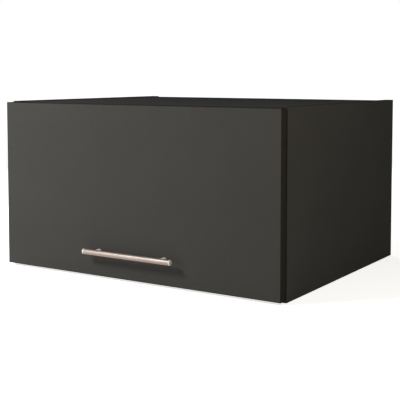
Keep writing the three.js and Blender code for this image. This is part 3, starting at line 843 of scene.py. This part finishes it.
def tubeShell(top, along, start, mouth):
    # A closed tube about the strut's line, with two rolled grooves and a mouth rolled in round the guide.
    # Its start and its mouth are distances from the upper ball.
    r, guide, inner = strut["tubeRadius"], strut["guideRadius"], mouth - strut["guideDepth"]
    profile, eases = [(pole, start), (r, start)], [strut["tubeEase"]]
    for groove in (start + strut["grooves"][0], mouth + strut["grooves"][1]):
        half, depth = strut["grooveHalf"], strut["grooveDepth"]
        profile += [(r, groove - half), (r - depth, groove), (r, groove + half)]
        eases += [strut["grooveEase"]] * 3
    profile += [(r, mouth), (guide, mouth), (guide, inner), (pole, inner)]
    eases += [strut["mouthEase"], strut["guideEase"], strut["guideEase"]]
    return turnedShell(softened(profile, eases, steps=5), top, along, around=64)


def rodShell(top, along, start, length):
    # The rod with its piston, which hides inside the tube.
    r, wide, end = strut["rodRadius"], strut["pistonRadius"], length - strut["shankReach"]
    low, high = start + strut["pistonFrom"], start + strut["pistonTo"]
    piston = [(pole, low), (wide, low), (wide, high), (r, high + strut["pistonSlope"])]
    profile = softened([*piston, (r, end), (pole, end)], strut["rodEase"])
    return turnedShell(profile, top, along, around=48)


def bracketScrews(places, axis, way):
    return [screwShell(at, axis, way, strut["screwRadius"], strut["screwHeight"]) for at in places]


for sideName, side in sides.items():
    low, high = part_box(f"strut_upper_socket_{sideName}")
    x = (low.x + high.x) / 2
    flapFootLow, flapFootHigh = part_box(f"strut_flap_bracket_{sideName}")
    sideFootLow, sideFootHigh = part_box(f"strut_side_bracket_{sideName}")
    top = np.array([x, flapFootHigh.y - strut["earHalf"], (flapFootLow.z + flapFootHigh.z) / 2])
    foot = np.array([x, (sideFootLow.y + sideFootHigh.y) / 2, (sideFootLow.z + sideFootHigh.z) / 2])
    length = np.linalg.norm(foot - top)
    along = (foot - top) / length
    start, mouth = strut["shankReach"] + strut["tubeGap"], length - strut["shankReach"] - strut["rodShow"]
    tube, piston = f"strut_tube_{sideName}", f"strut_piston_{sideName}"
    for end, at, way, body in (("upper", top, along, tube), ("lower", foot, -along, piston)):
        shells, node = socketShells(at, way), f"strut_{end}_socket_{sideName}"
        addPiece(f"{end}Socket.{sideName}", shells, blackPlastic, body, [node])
    tubeShells, rodShells = [tubeShell(top, along, start, mouth)], [rodShell(top, along, start, length)]
    cylinder, rod = f"strut_cylinder_{sideName}", f"strut_rod_{sideName}"
    addPiece(f"strutTube.{sideName}", tubeShells, lacquer, tube, [cylinder])
    addPiece(f"strutRod.{sideName}", rodShells, nickel, piston, [rod])
    for part, body in (("flap", "flap"), ("side", "carcass")):
        node, ease = f"strut_{part}_bracket_{sideName}", strut["bracketEase"]
        easedPiece(f"{part}Bracket.{sideName}", node, zinc, body, ease, segments=3)
    footFace = (sideFootHigh.x if side > 0 else sideFootLow.x) - side * strut["plateThickness"]
    places = [(footFace, foot[1], foot[2] + way * strut["sideScrewZ"]) for way in (-1, 1)]
    addPiece(f"sideBracketScrews.{sideName}", bracketScrews(places, "x", -side), zinc, "carcass")
    plateX, plateY = (flapFootLow.x + flapFootHigh.x) / 2, flapFootLow.y + strut["plateThickness"]
    places = [(plateX, plateY, top[2] + way * strut["flapScrewZ"]) for way in (-1, 1)]
    addPiece(f"flapBracketScrews.{sideName}", bracketScrews(places, "y", 1), zinc, "flap")
print("struts made")

fitting = {
    "housingEase": 0.0008,
    "hookEase": 0.0004,
    "camEase": 0.0004,
    "screwRadius": 0.0039,
    "screwHead": 0.0012,
    "screwLength": 0.0078,
}


def hangerScrewShells(node):
    # A head that faces the front, and a plain stem turned about Y behind it.
    low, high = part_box(node)
    r, reach = fitting["screwRadius"], fitting["screwLength"]
    face = ((low.x + high.x) / 2, low.y + fitting["screwHead"], (low.z + high.z) / 2)
    stem = [(pole, 0), (r, 0), (r, reach), (pole, reach)]
    return [screwShell(face, "y", -1, r, fitting["screwHead"]), turnedShell(stem, face, "y", around=40)]


for sideName in sides:
    housing, hook = f"hanger_housing_{sideName}", f"hanger_hook_{sideName}"
    shown, ease = f"hangerHousing.{sideName}", fitting["housingEase"]
    easedPiece(shown, housing, whitePlastic, "carcass", ease, segments=3)
    easedPiece(f"hangerHook.{sideName}", hook, zinc, f"hook_{sideName}", fitting["hookEase"])
    for name in ("height", "depth"):
        node, shown = f"hanger_{name}_screw_{sideName}", f"hanger{name.capitalize()}Screw.{sideName}"
        addPiece(shown, hangerScrewShells(node), zinc, "carcass", [node])

# The cam bolts are hidden in the boards and keep their solids.
for sideName in sides:
    for spot in (f"{level}_{row}" for row in ("front", "rear") for level in ("lower", "upper")):
        lock, bolt = f"cam_lock_{spot}_{sideName}", f"cam_bolt_{spot}_{sideName}"
        shown = f"camLock.{spot.replace('_', '.')}.{sideName}"
        easedPiece(shown, lock, zinc, "carcass", fitting["camEase"])
        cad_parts[bolt].data.materials.clear()
        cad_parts[bolt].data.materials.append(zinc)
print("hangers and cam fittings made")

stageLook = {
    "floor": 0.85,
    "nearGlow": 0.74,
    "farGlow": 1.0,
    "fadeFrom": 0.7,
    "fadeTo": 3.0,
    "halfSize": 14.0,
    "height": -0.0002,  # just under the cabinet
}

floorMesh = bpy.data.meshes.new("floor")
half, height = stageLook["halfSize"], stageLook["height"]
corners = [(x * half, y * half, height) for x, y in ((-1, -1), (1, -1), (1, 1), (-1, 1))]
floorMesh.from_pydata(corners, [], [(0, 1, 2, 3)])
floor = newObject("floor", floorMesh)
floor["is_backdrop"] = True


def seenDirectly(tree):
    # 1 for rays from the camera and for those that metal or glass sends on, 0 for the light on things.
    rays = addNode(tree, "LightPath").outputs
    most = reckon(tree, "MAXIMUM", rays["Is Camera Ray"], rays["Is Glossy Ray"])
    return reckon(tree, "MAXIMUM", most, rays["Is Transmission Ray"])


def floorMaterial():
    # Matt and pale, and white wherever it is seen directly, a little dimmer near the cabinet.
    material = bpy.data.materials.new("paleFloor")
    material.use_nodes = True
    tree = material.node_tree
    tree.nodes.remove(tree.nodes["Principled BSDF"])
    matt = addNode(tree, "BsdfDiffuse", {"Color": (stageLook["floor"],) * 3 + (1,)})
    away = addNode(tree, "VectorMath", {0: place(tree)}, operation="LENGTH").outputs["Value"]
    fade = between(tree, away, *(stageLook[k] for k in ("nearGlow", "farGlow", "fadeFrom", "fadeTo")))
    strength = reckon(tree, "MULTIPLY", seenDirectly(tree), fade)
    glow = addNode(tree, "Emission", {"Color": (1, 1, 1, 1), "Strength": strength})
    both = addNode(tree, "AddShader", {0: matt.outputs[0], 1: glow.outputs[0]})
    tree.links.new(both.outputs[0], tree.nodes["Material Output"].inputs["Surface"])
    return material


floorMesh.materials.append(floorMaterial())

# the soft light that falls on things, while the world is white wherever it is seen directly
worldLook = {"colour": (0.9, 0.96, 1.0), "strength": 0.09}

world = bpy.data.worlds.new("studio")
world.use_nodes = True
bpy.context.scene.world = world
tree = world.node_tree
soft = tree.nodes["Background"]
soft.inputs["Color"].default_value = (*worldLook["colour"], 1)
soft.inputs["Strength"].default_value = worldLook["strength"]
white = addNode(tree, "Background", {"Color": (1, 1, 1, 1), "Strength": 1.0})
choice = addNode(tree, "MixShader", {0: seenDirectly(tree), 1: soft.outputs[0], 2: white.outputs[0]})
tree.links.new(choice.outputs[0], tree.nodes["World Output"].inputs["Surface"])

# The key casts the handle's shadow on the flap, lowFill draws the bright line along the bar, and rearFill
# lights the back and the floor behind it.
lamps = {
    "key": {
        "at": (-0.575, -1.050, 0.920),
        "towards": (0, -0.1, 0.16),
        "size": 0.3,
        "power": 9.9,
        "colour": (1.0, 0.99, 0.97),
    },
    "leftFill": {
        "at": (-1.147, -0.221, 0.491),
        "towards": (0, -0.1, 0.16),
        "size": 0.6,
        "power": 8.1,
        "colour": (1.0, 0.95, 0.84),
    },
    "rightFill": {
        "at": (1.0, -0.5, 0.850),
        "towards": (0, -0.1, 0.16),
        "size": 0.45,
        "power": 3.6,
        "colour": (1.0, 0.90, 0.73),
    },
    "lowFill": {
        "at": (-0.8, -1.45, 0.16),
        "towards": (0, -0.2, 0.08),
        "size": 0.35,
        "power": 3.3,
        "colour": (0.92, 0.97, 1.0),
    },
    "rearFill": {
        "at": (-1.0, 1.5, 0.4),
        "towards": (0, 0.1, 0.16),
        "size": 0.6,
        "power": 16.0,
        "colour": (1.0, 1.0, 1.0),
    },
}

for name, look in lamps.items():
    data = bpy.data.lights.new(name, "AREA")
    data.shape = "SQUARE"
    data.size = look["size"]
    data.energy = look["power"]
    data.color = look["colour"]
    lamp = newObject(name, data)
    lamp.visible_camera = False
    lamp.location = look["at"]
    lamp.rotation_euler = (Vector(look["towards"]) - Vector(look["at"])).to_track_quat("-Z", "Y").to_euler()

view = {
    "at": (0.962483, -1.532778, 0.372067),
    "azimuth": 32.578,
    "down": 3.907,
    "lens": 81.498,
    "sensor": 36,
    "shift": -0.16,  # keeps the uprights nearly parallel, as the photograph shows them
    "clipStart": 0.01,
}

cameraData = bpy.data.cameras.new("camera")
cameraData.lens = view["lens"]
cameraData.sensor_width = view["sensor"]
cameraData.shift_y = view["shift"]
cameraData.clip_start = view["clipStart"]
camera = newObject("camera", cameraData)
camera.location = view["at"]
camera.rotation_euler = Euler((math.radians(90 - view["down"]), 0, math.radians(view["azimuth"])), "XYZ")
bpy.context.scene.camera = camera
bpy.context.scene.view_settings.view_transform = "Standard"
print("studio made")

low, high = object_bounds()
